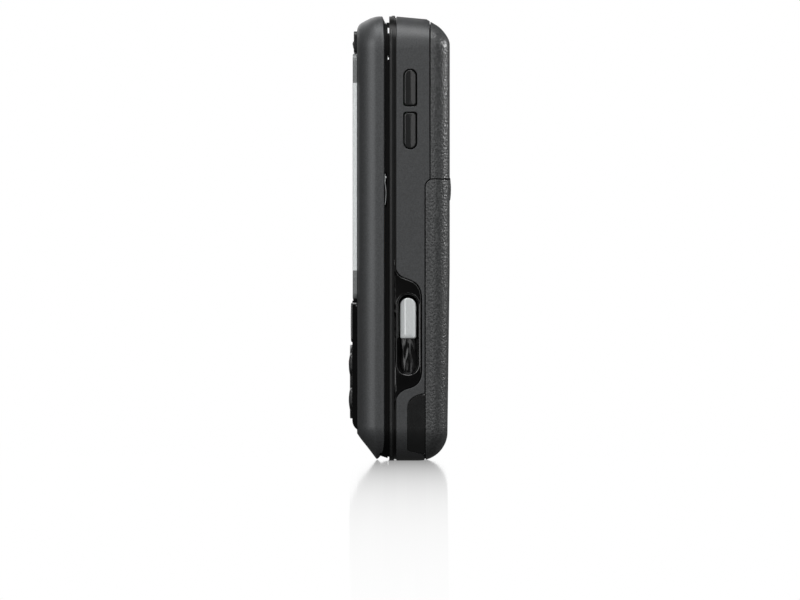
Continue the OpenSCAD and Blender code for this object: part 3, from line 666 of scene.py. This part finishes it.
def volume_outline(i, grow=0.0):
    """The lower (0) or upper (1) volume key: round at its far end, nearly square at the other."""
    up = 1 if i else -1
    w, h = VOLUME_HALF_W + grow, 4.35 + grow
    points = (arc(0, h - w, w, 0, 180, 16) + arc(0.7 - w, 0.7 - h, 0.7, 180, 270, 6)
              + arc(w - 0.7, 0.7 - h, 0.7, 270, 360, 6))
    return [(VOLUME_Y + u, VOLUME_Z[i] + up * v) for u, v in points][::up]


def slot_outline(y, z0, z1, w, steps=16):
    return arc(y, z1 - w / 2, w / 2, 0, 180, steps) + arc(y, z0 + w / 2, w / 2, 180, 360, steps)


def door_region(gap):
    """The battery door's side view, grown by the seam's width."""
    return ([(20, -5), (DOOR_Y - gap, -5)] + arc(DOOR_Y + 1.8, DOOR_TOP - 1.8, 1.8 + gap, 180, 90, 8)
            + [(20, DOOR_TOP + gap)])


def build_lower_casing():
    shell = rear_skin(1.3)
    band = combine(shell, prism([(BAND_Y - 2, -5), (COVER_Y - SEAM, -5), (COVER_Y - SEAM, 120),
                                 (BAND_Y - 2, 120)], "X", -REACH, REACH), "INTERSECT")
    stylus_low, stylus_high = box_mm("stylus")
    stylus_x = (stylus_low.x + stylus_high.x) / 2
    stylus_y = (stylus_low.y + stylus_high.y) / 2
    band = combine(band, prism(door_region(0.1), "X", -REACH, REACH))
    band = combine(band, prism(lug_outline(0.1), "X", 20, REACH))
    cuts = [prism(ir_outline(SEAM), "X", 20, REACH), prism(volume_outline(0, 0.2), "X", 20, REACH),
            prism(volume_outline(1, 0.2), "X", 20, REACH),
            prism(rounded(-3.95, 1.6, 3.95, 5.6, 0.8), "Z", -2, 3),
            prism(circle(-13, 3.6, 2.35), "Z", -2, 3), prism(circle(11, 2.2, 0.5, 24), "Z", -2, 3),
            prism(circle(stylus_x, stylus_y, 2.05), "Z", 100, 110)]
    for cutter in cuts:
        band = combine(band, cutter)
    tidy(band, 0.6)
    place_piece("band_shell", band, "side_band", edge=0.16, segments=3, clamp=False)
    # A near-black sheet just inside the casing, behind its seams and openings: painted shade for the dark
    # inside of the casing.
    liner = rear_skin(0.3, 1.5)
    for cutter in ([prism(door_region(-0.9), "X", -REACH, REACH), prism(lug_outline(0.1), "X", 20, REACH)]
                   + cuts
                   + [prism(circle(stylus_x, stylus_y, 2.3), "Z", 5, 110),
                      prism(rounded(-4.3, 59, 4.3, 74, 1.7), "Y", 8, 20),
                      prism(circle(0, 85, 12), "Y", 8, 20)]):
        liner = combine(liner, cutter)
    place_piece("casing_shade_liner", liner, "side_band", BLACK_AND_PAINTED_GAP_SHADE, edge=0, replace=False)
    # near-black ribs in the ends of two seams: painted shade in the seams
    ribs = [prism(rounded(-10, DOOR_Y - SEAM, 10, DOOR_Y + SEAM, 0.06, 3), "Z", 0.32, 1.7),
            prism(rounded(-10, COVER_Y - SEAM, 10, COVER_Y + SEAM, 0.06, 3), "Z", 104.6, 105.95)]
    place_piece("seam_ribs", merged(ribs), "side_band", BLACK_AND_PAINTED_GAP_SHADE, edge=0, replace=False)

    cover = combine(shell, prism([(COVER_Y + SEAM, DOOR_TOP + 0.1), (20, DOOR_TOP + 0.1), (20, 120),
                                  (COVER_Y + SEAM, 120)], "X", -REACH, REACH), "INTERSECT")
    lens_low, lens_high = box_mm("camera_window")
    lens = (lens_low + lens_high) / 2
    cover = eased(combine(cover, prism(rounded(-4.2, 60, 4.2, 68.9, 1.7), "Y", 9, 20)), 0.16)
    cover = combine(cover, prism(circle(lens.x, lens.z, 4.45), "Y", 5, 20))
    for i in range(-3, 4):
        middle = -9 + i * 1.9
        slot = rounded(middle - 0.4, 87 + abs(i), middle + 0.4, 95 - abs(i), 0.39, 5)
        cover = combine(cover, prism(slot, "Y", 9, 20))
    place_piece("cover_shell", cover, "rear_cover", edge=0)

    door = combine(shell, prism(door_region(-0.1), "X", -REACH, REACH), "INTERSECT")
    door = eased(combine(door, prism(rounded(-4.2, 63, 4.2, 73, 1.7), "Y", 9, 20)), 0.16)
    place_piece("door_shell", door, "battery_door", edge=0)


def ring_mesh(outlines, place, closed=False):
    """A surface through outlines of equal length, with its ends filled in where it is closed."""
    n = len(outlines[0])
    verts = [place(u, v, height) for outline in outlines for u, v, height in outline]
    faces = tube_faces(len(outlines), n)
    if closed:
        faces += [tuple(range(n)), tuple(range(len(verts) - n, len(verts)))]
    return to_mesh("ring", verts, faces)


def slot_level(grow, height):
    return [(u, v, height) for u, v in slot_outline(SWITCH_Y, 21.2 - grow, 39.9 + grow, 4.3 + 2 * grow)]


def build_frame_side():
    """The mid frame with a freshly drawn lug round the hold switch."""
    away = prism([(-0.86, 5), (9, 5), (9, 55), (-0.86, 55)], "X", 24, REACH)
    refine("mid_frame", 0.2, 3, cut=away, finish=FRAME_SIDE)
    lug = ring_mesh([[(u, v, height) for u, v in lug_outline(-inset)] for inset, height in
                     ((0, 25.4), (0, 28.6), (0.03, 28.75), (0.1, 28.88), (0.2, 28.96), (0.32, 29))], on_side,
                    closed=True)
    keep = prism([(-1.35, 10), (9, 10), (9, 52), (-1.35, 52)], "X", 20, REACH)
    lug = combine(lug, keep, "INTERSECT")
    lug = combine(lug, prism(slot_outline(SWITCH_Y, 20.4, 40.7, 5.9), "X", 26.2, REACH))
    place_piece("switch_lug", lug, "mid_frame", edge=0, replace=False)
    # the slot's wall: a rounded rim, then a ledge, then the well that the knob runs in
    levels = [(0.82, 26.1), (0.82, 28.95), (0.76, 29), (0.62, 29), (0.5, 28.94), (0.38, 28.82),
              (0.28, 28.65), (0.2, 28.42), (0.14, 28.1), (0.1, 27.7), (0.04, 27.5), (-0.1, 27.4),
              (-0.18, 27.3), (-0.2, 27.1), (-0.2, 26.1)]
    rim = ring_mesh([slot_level(*level) for level in levels], on_side)
    place_piece("switch_rim", rim, "mid_frame", edge=0, replace=False)

    # the polished track that the knob leaves free below it
    rows, columns = 60, 24
    verts = []
    for j in range(rows + 1):
        for i in range(columns + 1):
            y = -0.1 + 4.1 * i / columns
            z = 21.3 + 18.2 * j / rows
            across = (y - SWITCH_Y) / 2
            x = 26.5 + 0.5 * (1 - across ** 2) + 0.045 * math.sin(1.1 * z + 2.6 * math.sin(1.9 * y)) \
                + 0.03 * math.sin(3.7 * y + 0.7 * z)
            verts.append((x, y, z))
    wide = columns + 1
    faces = [(j * wide + i, j * wide + i + 1, (j + 1) * wide + i + 1, (j + 1) * wide + i)
             for j in range(rows) for i in range(columns)]
    track = to_mesh("track", verts, faces)
    made = place_piece("switch_track", track, "mid_frame", TRACK_BLACK, edge=0, replace=False)
    thick = made.modifiers.new("wall", "SOLIDIFY")
    thick.thickness = 0.25 * MM
    made.modifiers.move(1, 0)


def build_side_keys():
    for i, node in enumerate(("volume_down_key", "volume_up_key")):
        mesh = cap_mesh(volume_outline(i), ((VOLUME_Y, VOLUME_Z[i] - 2.8), (VOLUME_Y, VOLUME_Z[i] + 2.8)),
                        crown_levels(27.1, HALF_W, 0.3, 0, VOLUME_HALF_W), on_side,
                        lambda u: 0.03 * max(0.0, 2.3 - u) + 0.15 * max(0.0, u - 2.6))
        place_piece(node + "_cap", mesh, node, edge=0)
    knob_low, knob_high = box_mm("hold_switch_knob")
    outline = (arc(SWITCH_Y, knob_high.z - 1.95, 1.95, 0, 180, 28)
               + arc(SWITCH_Y - 1.45, knob_low.z + 0.5, 0.5, 180, 270, 6)
               + arc(SWITCH_Y + 1.45, knob_low.z + 0.5, 0.5, 270, 360, 6))
    mesh = cap_mesh(outline, ((SWITCH_Y, knob_low.z + 1.9), (SWITCH_Y, knob_high.z - 2)),
                    crown_levels(27.3, HALF_W - 0.1, 0.28, 0, 1.95), on_side,
                    lambda u: (0.85 * max(0.0, SWITCH_Y - 0.75 - u)
                               + 0.1 * max(0.0, u - SWITCH_Y - 0.9) ** 2))
    stem = prism(rounded(SWITCH_Y - 0.6, 33, SWITCH_Y + 0.6, 36, 0.2), "X", 23.9, 26.4)
    place_piece("hold_knob", merged([mesh, stem]), "hold_switch_knob", edge=0)


def build_infrared_window():
    shape = combine(rear_skin(1.0), prism(ir_outline(-0.02), "X", 20, REACH), "INTERSECT")
    in_front = prism([(0, -2), (DOOR_Y - 0.06, -2), (DOOR_Y - 0.06, 20), (0, 20)], "X", 20, REACH)
    shape = combine(shape, in_front, "INTERSECT")
    place_piece("infrared_panel", shape, "ir_window", edge=0.08)


# ---- The screen unit ----

def build_slab():
    slab = slab_skin(1.2)
    cuts = [prism(rounded(-23.4, 39.8, 23.4, 97.7, 1), "Y", -12, -9),
            prism(rounded(-23.8, 9.4, 23.8, 38.45, 1), "Y", -12, -9),
            prism(rounded(-5.6, 99.9, 5.6, 103.1, 1), "Y", -12, -9)]
    for side in (-1, 1):
        cuts.append(prism(rounded(side * 14.5 - 7.45, 98.85, side * 14.5 + 7.45, 104.15, 1.35), "Y", -12, -8))
    for cutter in cuts:
        slab = combine(slab, cutter)
    place_piece("slab_shell", slab, "screen_bezel", edge=0.12)


def build_window():
    """A clear plate over a printed mask. Its edge is painted lighter beside the display than at the ends: a
    painted highlight for the light that the clear glass lets through, and painted shade at the ends.
    """
    low, high = box_mm("screen_window")
    plate = prism(rounded(low.x + 0.25, low.z + 0.25, high.x - 0.25, high.z - 0.25, 1.5), "Y", low.y,
                  high.y - 0.04)
    place_piece("window_plate", plate, "screen_window", edge=0.12)
    outer = rounded(low.x, low.z, high.x, high.z, 1.8)
    inner = rounded(low.x + 0.24, low.z + 0.24, high.x - 0.24, high.z - 0.24, 1.56)
    n = len(outer)
    rim = []
    for y in (low.y + 0.06, high.y):
        rim += [(u, y, v) for u, v in outer] + [(u, y, v) for u, v in inner]
    faces = []
    for i in range(n):
        k = (i + 1) % n
        faces += [(i, k, n + k, n + i), (2 * n + i, 3 * n + i, 3 * n + k, 2 * n + k),
                  (i, 2 * n + i, 2 * n + k, k), (n + i, n + k, 3 * n + k, 3 * n + i)]
    mesh = to_mesh("rim", rim, faces)
    # the middle of the edge takes the painted highlight, the ends the painted shade
    ends = low.z + GLASS_END, high.z - GLASS_END
    slice_up(mesh, [(0, 0, z * MM) for z in ends], (0, 0, 1))
    mesh.materials.append(GLASS_EDGE_PAINTED_HIGHLIGHT)
    mesh.materials.append(GLASS_EDGE_PAINTED_SHADE)
    for face in mesh.polygons:
        if not ends[0] < face.center.z / MM < ends[1]:
            face.material_index = 1
    place_piece("window_rim", mesh, "screen_window", edge=0.05, replace=False)
    sheet = prism(rounded(low.x + 0.3, low.z + 0.3, high.x - 0.3, high.z - 0.3, 1.4), "Y", high.y - 0.035,
                  high.y - 0.005)
    mask = combine(sheet, prism(rounded(-21.8, 43.5, 21.8, 94.5, 0.4), "Y", -11, -10))
    place_piece("window_mask", mask, "screen_window", MASK_BLACK, edge=0, replace=False)


def front_key(node, r, rim, rise):
    """A crowned cap with corner radius r in place of a key on the slab's front."""
    low, high = box_mm(node)
    half = (high.z - low.z) / 2
    middle = (low.z + high.z) / 2
    mesh = cap_mesh(rounded(low.x, low.z, high.x, high.z, r),
                    ((low.x + half, middle), (high.x - half, middle)),
                    crown_levels(-high.y, -low.y, rim, rise, half), on_front)
    place_piece(node + "_cap", mesh, node, edge=0)


def mark(name, node, outline, finish):
    """A printed mark on a front key: a thin plate that just clears the key's crown."""
    low, high = box_mm(node)
    cx, cz = (low.x + high.x) / 2, (low.z + high.z) / 2
    mesh = prism([(cx + u, cz + v) for u, v in outline], "Y", low.y - MARK_LIFT, low.y + 0.2)
    place_piece(name, mesh, node, finish, edge=0, replace=False)


def build_marks():
    """Plain printed marks on the front keys: two arches, a house, a dot and two strokes."""
    arch = arc(0, -0.9, 2.0, 35, 145, 12) + arc(0, -0.9, 1.35, 145, 35, 12)
    mark("call_mark", "call_key", arch, GREEN_PRINT)
    mark("end_mark", "end_key", arch, RED_PRINT)
    mark("home_mark", "home_key", [(-1.2, -0.9), (1.2, -0.9), (1.2, 0.1), (1.6, 0.1), (0, 1.3), (-1.6, 0.1),
                                   (-1.2, 0.1)], PALE_PRINT)
    mark("ok_mark", "ok_key", circle(0, 0, 0.75, 24), PALE_PRINT)
    for side in ("left", "right"):
        mark(f"softkey_{side}_mark", f"softkey_{side}", rounded(-1.6, -0.2, 1.6, 0.2, 0.19, 4), PALE_PRINT)


def build_gap_trim():
    """The rounded bead along the mid frame's sides, and the deck's lip that closes the gap at its foot."""

    def band_round(outer, inner, y0, y1):
        """A flat ring between the casing's outline shrunk by outer and by inner."""
        large, small = (rounded(inset - HALF_W, inset, HALF_W - inset, BODY_H - inset, CORNER_R - inset, 16)
                        for inset in (outer, inner))
        return combine(prism(large, "Y", y0, y1), prism(small, "Y", -4, 0))

    bead, lip = band_round(-0.04, 1, -2.42, -1.74), band_round(0.4, 1.6, -2.88, -2.6)
    for side, name in ((1, "right"), (-1, "left")):
        x0, x1 = sorted((side * 24, side * REACH))
        keep = prism([(x0, 1.2), (x1, 1.2), (x1, 104.6), (x0, 104.6)], "Y", -4, 0)
        # the bead's lighter black is a painted highlight along its rounded edge, on top of the real one
        place_piece("frame_bead_" + name, combine(bead, keep, "INTERSECT"), "mid_frame", BEAD_BLACK_PAINTED_HIGHLIGHT, edge=0.26,
                    segments=4, replace=False, clamp=False)
    foot = prism([(-REACH, 0), (-20, 0), (-20, 11.2), (-REACH, 11.2)], "Y", -4, 0)
    place_piece("deck_lip", combine(lip, foot, "INTERSECT"), "mid_frame", BLACK_AND_PAINTED_GAP_SHADE, edge=0.04,
                replace=False)


def build_sill():
    """A black gasket that closes the joint between the window and the key panel."""
    low, high = box_mm("screen_window")
    panel_low, panel_high = box_mm("control_panel")
    strip = prism(rounded(low.x + 0.6, panel_high.z - 0.25, high.x - 0.6, low.z + 0.3, 0.2), "Y",
                  panel_low.y + 0.25, SLAB_FRONT + 0.6)
    place_piece("window_gasket", strip, "screen_bezel", BLACK_AND_PAINTED_GAP_SHADE, edge=0.05, replace=False)


def build_front_keys():
    refine("control_panel", 0.16, 3)
    for node in ("call_key", "end_key", "home_key", "ok_key"):
        front_key(node, 2, 0.45, 0.25)
    for node in ("softkey_left", "softkey_right"):
        front_key(node, 0.8, 0.3, 0.2)
    for node in ("top_key_left", "top_key_right"):
        refine(node, 0.25, 3)
    refine("nav_ring", 0.2, 3)
    refine("nav_select", 0.2, 3)
    refine("earpiece_grille", 0.06, 2)
    build_marks()
    for row in range(1, 5):
        build_key_row(f"key_row_{row}")


def build_key_row(node):
    """Crowned caps in place of one row of the keyboard. Each island of the CAD mesh becomes one cap."""
    mesh = frame["nodes"][node].data
    low, high = box_mm(node)
    shape = bmesh.new()
    shape.from_mesh(mesh)
    bmesh.ops.remove_doubles(shape, verts=shape.verts, dist=1e-6)
    left, caps = set(shape.verts), []
    while left:
        stack, island = [left.pop()], []
        while stack:
            vert = stack.pop()
            island.append(vert)
            for edge in vert.link_edges:
                other = edge.other_vert(vert)
                if other in left:
                    left.discard(other)
                    stack.append(other)
        zs = [vert.co.z / MM for vert in island]
        caps.append((min(zs), max(zs)))
    shape.free()
    half = (high.x - low.x) / 2
    middle = (low.x + high.x) / 2
    meshes = []
    for z0, z1 in sorted(caps):
        meshes.append(cap_mesh(rounded(low.x, z0, high.x, z1, 1.1),
                               ((middle, z0 + half), (middle, z1 - half)),
                               crown_levels(-high.y, -low.y, 0.3, 0.22, half), on_front))
    place_piece(node + "_caps", merged(meshes), node, edge=0)


def build_rest():
    """Finer copies of the CAD nodes whose edges can be seen."""
    for node, edge in (("screen_back", 0.08), ("door_latch", 0.3), ("power_key", 0.2),
                       ("camera_window", 0.15), ("camera_module", 0.1), ("usb_port", 0.08),
                       ("headset_jack", 0.1), ("stylus", 0.25), ("slide_plate", 0.04),
                       ("slide_shoes", 0.08), ("battery", 0.25), ("sim_holder", 0.06),
                       ("inner_chassis", 0.08), ("battery_contacts", 0.06), ("screen_screws", 0.05)):
        refine(node, edge, finish=BLACK_AND_PAINTED_GAP_SHADE if node == "screen_back" else None)
    bending("display_flex", 0.02, 13.9, 1.3)
    bending("slide_springs", 0.05, 5.4, -11.8)


for part_name, part in PARTS.items():
    cad_node = frame["nodes"][part_name]
    cad_node.data.materials.clear()
    coat = BEAD_BLACK_PAINTED_HIGHLIGHT if part_name == "keyboard_board" else FINISH[part["material_slot"]]
    cad_node.data.materials.append(coat)

build_lower_casing()
build_frame_side()
build_side_keys()
build_infrared_window()
build_slab()
build_window()
build_gap_trim()
build_sill()
build_front_keys()
build_rest()


# ---- Stage: table, backdrop, lights, camera ----

def stage_plane(name, verts, faces, surface):
    mesh = bpy.data.meshes.new(name)
    mesh.from_pydata(verts, [], faces)
    made = add_object(name, mesh)
    mesh.materials.append(surface)
    return made


def glowing(name, seen, lit):
    """A surface that glows with one strength when seen and with another when it lights things."""
    made = bpy.data.materials.new(name)
    made.use_nodes = True
    tree = made.node_tree
    tree.nodes.clear()
    out = tree.nodes.new("ShaderNodeOutputMaterial")
    path = tree.nodes.new("ShaderNodeLightPath")
    first, second = (add_node(tree, "ShaderNodeEmission", Strength=value) for value in (lit, seen))
    mix = tree.nodes.new("ShaderNodeMixShader")
    link(tree, path, "Is Camera Ray", mix, "Fac")
    link(tree, first, "Emission", mix, 1)
    link(tree, second, "Emission", mix, 2)
    link(tree, mix, "Shader", out, "Surface")
    return made, tree, mix, out


def maths(tree, operation, *values):
    """The output of a Math node. Each value is a number or another node's output."""
    made = tree.nodes.new("ShaderNodeMath")
    made.operation = operation
    for place, value in zip(made.inputs, values):
        if isinstance(value, bpy.types.NodeSocket):
            tree.links.new(value, place)
        else:
            place.default_value = value
    return made.outputs["Value"]


def table_material(gloss, reach, lit):
    """A white table with a mirror gloss that is strongest at a flat angle and near the object."""
    made, tree, mix, out = glowing("table_white", 1.0, lit)
    mirror = add_node(tree, "ShaderNodeBsdfGlossy", Roughness=0.04, Color=(1, 1, 1, 1))
    place = tree.nodes.new("ShaderNodeTexCoord")
    away = tree.nodes.new("ShaderNodeVectorMath")
    away.operation = "LENGTH"
    link(tree, place, "Object", away, 0)
    fade = maths(tree, "POWER", math.exp(-1 / reach), away.outputs["Value"])
    flat = add_node(tree, "ShaderNodeLayerWeight", Blend=0.5)
    power = maths(tree, "POWER", flat.outputs["Facing"], 9.0)
    share = maths(tree, "MULTIPLY", maths(tree, "MULTIPLY", power, fade), gloss)
    path = tree.nodes.new("ShaderNodeLightPath")
    top = tree.nodes.new("ShaderNodeMixShader")
    tree.links.new(maths(tree, "MULTIPLY", share, path.outputs["Is Camera Ray"]), top.inputs["Fac"])
    tree.links.new(mix.outputs["Shader"], top.inputs[1])
    tree.links.new(mirror.outputs["BSDF"], top.inputs[2])
    link(tree, top, "Shader", out, "Surface")
    return made


def softbox(name, azimuth, elevation, distance, size, radiance, centre_z=0.054):
    """An area light that faces the object. Azimuth 0 is over the camera's side, +X, and turns towards +Y."""
    lamp = bpy.data.lights.new(name, "AREA")
    lamp.shape = "RECTANGLE"
    lamp.size, lamp.size_y = size
    lamp.energy = radiance * math.pi * size[0] * size[1]
    made = add_object(name, lamp)
    a, e = math.radians(azimuth), math.radians(elevation)
    direction = Vector((math.cos(e) * math.cos(a), math.cos(e) * math.sin(a), math.sin(e)))
    made.location = Vector((0, 0, centre_z)) + direction * distance
    made.rotation_euler = direction.to_track_quat("Z", "Y").to_euler()
    made.visible_camera = False


def build_stage():
    world = bpy.data.worlds.new("studio")
    bpy.context.scene.world = world
    world.use_nodes = True
    tree = world.node_tree
    tree.nodes.clear()
    out = tree.nodes.new("ShaderNodeOutputWorld")
    seen, ambient = (add_node(tree, "ShaderNodeBackground", Strength=value, Color=(1, 1, 1, 1))
                     for value in (1.0, 0.05))
    path, mix = tree.nodes.new("ShaderNodeLightPath"), tree.nodes.new("ShaderNodeMixShader")
    link(tree, path, "Is Camera Ray", mix, "Fac")
    link(tree, ambient, "Background", mix, 1)
    link(tree, seen, "Background", mix, 2)
    link(tree, mix, "Shader", out, "Surface")
    half = 8.0
    stage_plane("table", [(-half, -half, 0), (half, -half, 0), (half, half, 0), (-half, half, 0)],
                [(0, 1, 2, 3)], table_material(0.82, 0.38, 0.08))
    ring, high, steps = 4.0, 0.7, 24
    verts = []
    for i in range(steps + 1):
        a = math.radians(167 + 26 * i / steps)
        verts += [(ring * math.cos(a), ring * math.sin(a), z) for z in (-0.01, high)]
    faces = [(2 * i, 2 * i + 2, 2 * i + 3, 2 * i + 1) for i in range(steps)]
    backdrop = stage_plane("backdrop", verts, faces, glowing("backdrop_white", 1.0, 1.0)[0])
    backdrop.visible_camera = False
    backdrop.visible_diffuse = False
    softbox("overhead", 5, 70, 0.8, (0.7, 0.5), 5.5)
    softbox("front_left", -37, 12, 0.9, (0.50, 0.7), 5.3)
    softbox("fill_right", 18, 14, 0.9, (0.25, 0.6), 3.4)
    softbox("rim_right", 101, 13, 0.7, (0.10, 0.16), 66.0, 0.112)
    softbox("back_fill", 205, 30, 1.0, (0.7, 0.7), 2.5)
    scene = bpy.context.scene
    scene.view_settings.view_transform = "Standard"
    scene.view_settings.look = "None"


def build_camera():
    """Level with the lower part of the object, square-on to its right-hand side, from far away."""
    distance, field_w, height = 3.0, 0.1933, 0.0389
    data = bpy.data.cameras.new("camera")
    data.sensor_width = 36
    data.lens = data.sensor_width * distance / field_w
    made = add_object("camera", data)
    made.location = (HALF_W * MM + distance, 0, height)
    made.rotation_euler = (math.pi / 2, 0, math.pi / 2)
    bpy.context.scene.camera = made


build_stage()
build_camera()
